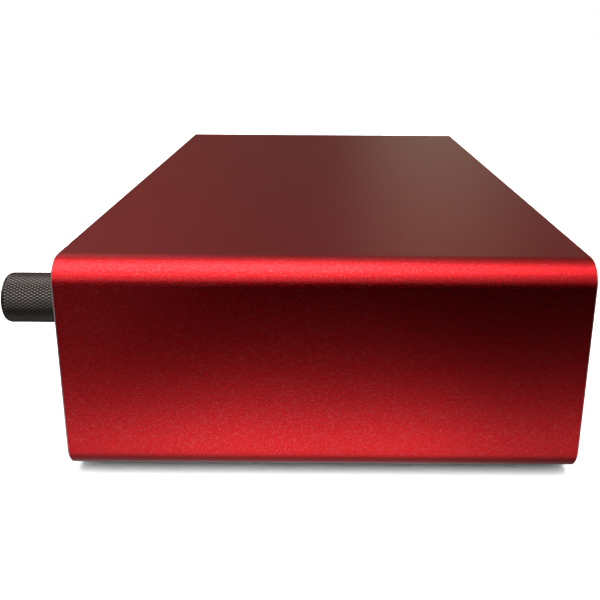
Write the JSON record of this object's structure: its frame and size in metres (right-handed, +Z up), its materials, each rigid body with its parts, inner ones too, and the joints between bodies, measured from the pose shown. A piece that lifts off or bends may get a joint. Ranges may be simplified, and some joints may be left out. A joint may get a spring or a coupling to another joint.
{
  "type": "audio interface",
  "caption": "Desktop audio interface in an extruded metal sleeve, with knobs that turn, buttons that press, and sockets for microphones, instruments, headphones and speakers.",
  "frame": {"origin": "middle of the bounding box, on the desk under the feet", "axes": "+Z up, the front panel faces -Y, +X to the right of someone facing the front panel"},
  "size_m": [0.175, 0.1204, 0.047],
  "materials": {
    "sleeve_red": "bead-blasted red anodise",
    "fascia": "satin black",
    "subpanel": "mill finish",
    "rear_plate": "fine matt black",
    "screws": "zinc plated",
    "screws_black": "black oxide",
    "foot_rubber": "matt",
    "connector_black": "glass-filled nylon",
    "insert_black": "satin",
    "contacts": "gold plated",
    "contacts_steel": "nickel plated",
    "knob_metal": "turned, black anodise",
    "phones_knob_metal": "diamond knurled, dark grey anodise",
    "cap_metal": "spun, dark anodise",
    "shaft_metal": "turned",
    "pot_case": "plated",
    "nut_metal": "nickel plated",
    "lock_steel": "zinc plated",
    "light_guide": "frosted translucent",
    "button_plastic": "satin",
    "switch_plastic": "moulded",
    "board": "solder resist",
    "header_plastic": "moulded",
    "chip": "moulded epoxy",
    "capacitor": "sleeved can",
    "shield_metal": "tinned"
  },
  "bodies": {
    "case": {"outer_sleeve": "sleeve_red", "front_fascia": "fascia", "front_subpanel": "subpanel", "rear_panel": "rear_plate", "front_panel_screws": "screws", "rear_panel_screws": "screws_black", "foot_front_left": "foot_rubber", "foot_front_right": "foot_rubber", "foot_rear_left": "foot_rubber", "foot_rear_right": "foot_rubber", "combo_jack_1_shell": "connector_black", "combo_jack_1_insert": "insert_black", "combo_jack_1_contacts": "contacts", "combo_jack_2_shell": "connector_black", "combo_jack_2_insert": "insert_black", "combo_jack_2_contacts": "contacts", "gain_pot_1": "pot_case", "gain_light_ring_1": "light_guide", "gain_pot_2": "pot_case", "gain_light_ring_2": "light_guide", "monitor_pot": "pot_case", "phones_pot": "pot_case", "phones_pot_nut": "nut_metal", "phones_jack_body": "connector_black", "phones_jack_springs": "contacts", "phones_jack_nut": "nut_metal", "button_switches": "switch_plastic", "status_lights": "light_guide", "main_board": "board", "front_board": "board", "board_header": "header_plastic", "processor_chip": "chip", "converter_chip": "chip", "preamp_chips": "chip", "filter_capacitors": "capacitor", "preamp_shield": "shield_metal", "usb_port_shell": "contacts_steel", "usb_port_tongue": "insert_black", "line_out_left_body": "connector_black", "line_out_right_body": "connector_black", "line_out_nuts": "nut_metal", "lock_pocket": "lock_steel"},
    "gain_1": {"gain_knob_1": "knob_metal", "gain_shaft_1": "shaft_metal"},
    "gain_2": {"gain_knob_2": "knob_metal", "gain_shaft_2": "shaft_metal"},
    "monitor": {"monitor_knob": "knob_metal", "monitor_knob_cap": "cap_metal", "monitor_shaft": "shaft_metal"},
    "phones": {"phones_knob": "phones_knob_metal", "phones_knob_grub_screw": "screws", "phones_shaft": "shaft_metal"},
    "inst_1": {"inst_button_1": "button_plastic"},
    "inst_2": {"inst_button_2": "button_plastic"},
    "phantom": {"phantom_button": "button_plastic"},
    "direct": {"direct_button": "button_plastic"}
  },
  "joints": [
    {"name": "gain_1_turn", "type": "hinge", "parent": "case", "child": "gain_1", "pos_m": [-0.041, -0.05105, 0.031], "axis": [0, -1, 0], "range_deg": [-150, 150]},
    {"name": "gain_2_turn", "type": "hinge", "parent": "case", "child": "gain_2", "pos_m": [0.011, -0.05105, 0.031], "axis": [0, -1, 0], "range_deg": [-150, 150]},
    {"name": "monitor_turn", "type": "hinge", "parent": "case", "child": "monitor", "pos_m": [0.047, -0.05105, 0.025], "axis": [0, -1, 0], "range_deg": [-150, 150]},
    {"name": "phones_turn", "type": "hinge", "parent": "case", "child": "phones", "pos_m": [0.0735, -0.05105, 0.0345], "axis": [0, -1, 0], "range_deg": [-150, 150]},
    {"name": "inst_1_press", "type": "slide", "parent": "case", "child": "inst_1", "axis": [0, 1, 0], "range_m": [0, 0.0012], "stiffness_N_per_m": 400, "springref_m": -0.001},
    {"name": "inst_2_press", "type": "slide", "parent": "case", "child": "inst_2", "axis": [0, 1, 0], "range_m": [0, 0.0012], "stiffness_N_per_m": 400, "springref_m": -0.001},
    {"name": "phantom_press", "type": "slide", "parent": "case", "child": "phantom", "axis": [0, 1, 0], "range_m": [0, 0.0012], "stiffness_N_per_m": 400, "springref_m": -0.001},
    {"name": "direct_press", "type": "slide", "parent": "case", "child": "direct", "axis": [0, 1, 0], "range_m": [0, 0.0012], "stiffness_N_per_m": 400, "springref_m": -0.001}
  ]
}
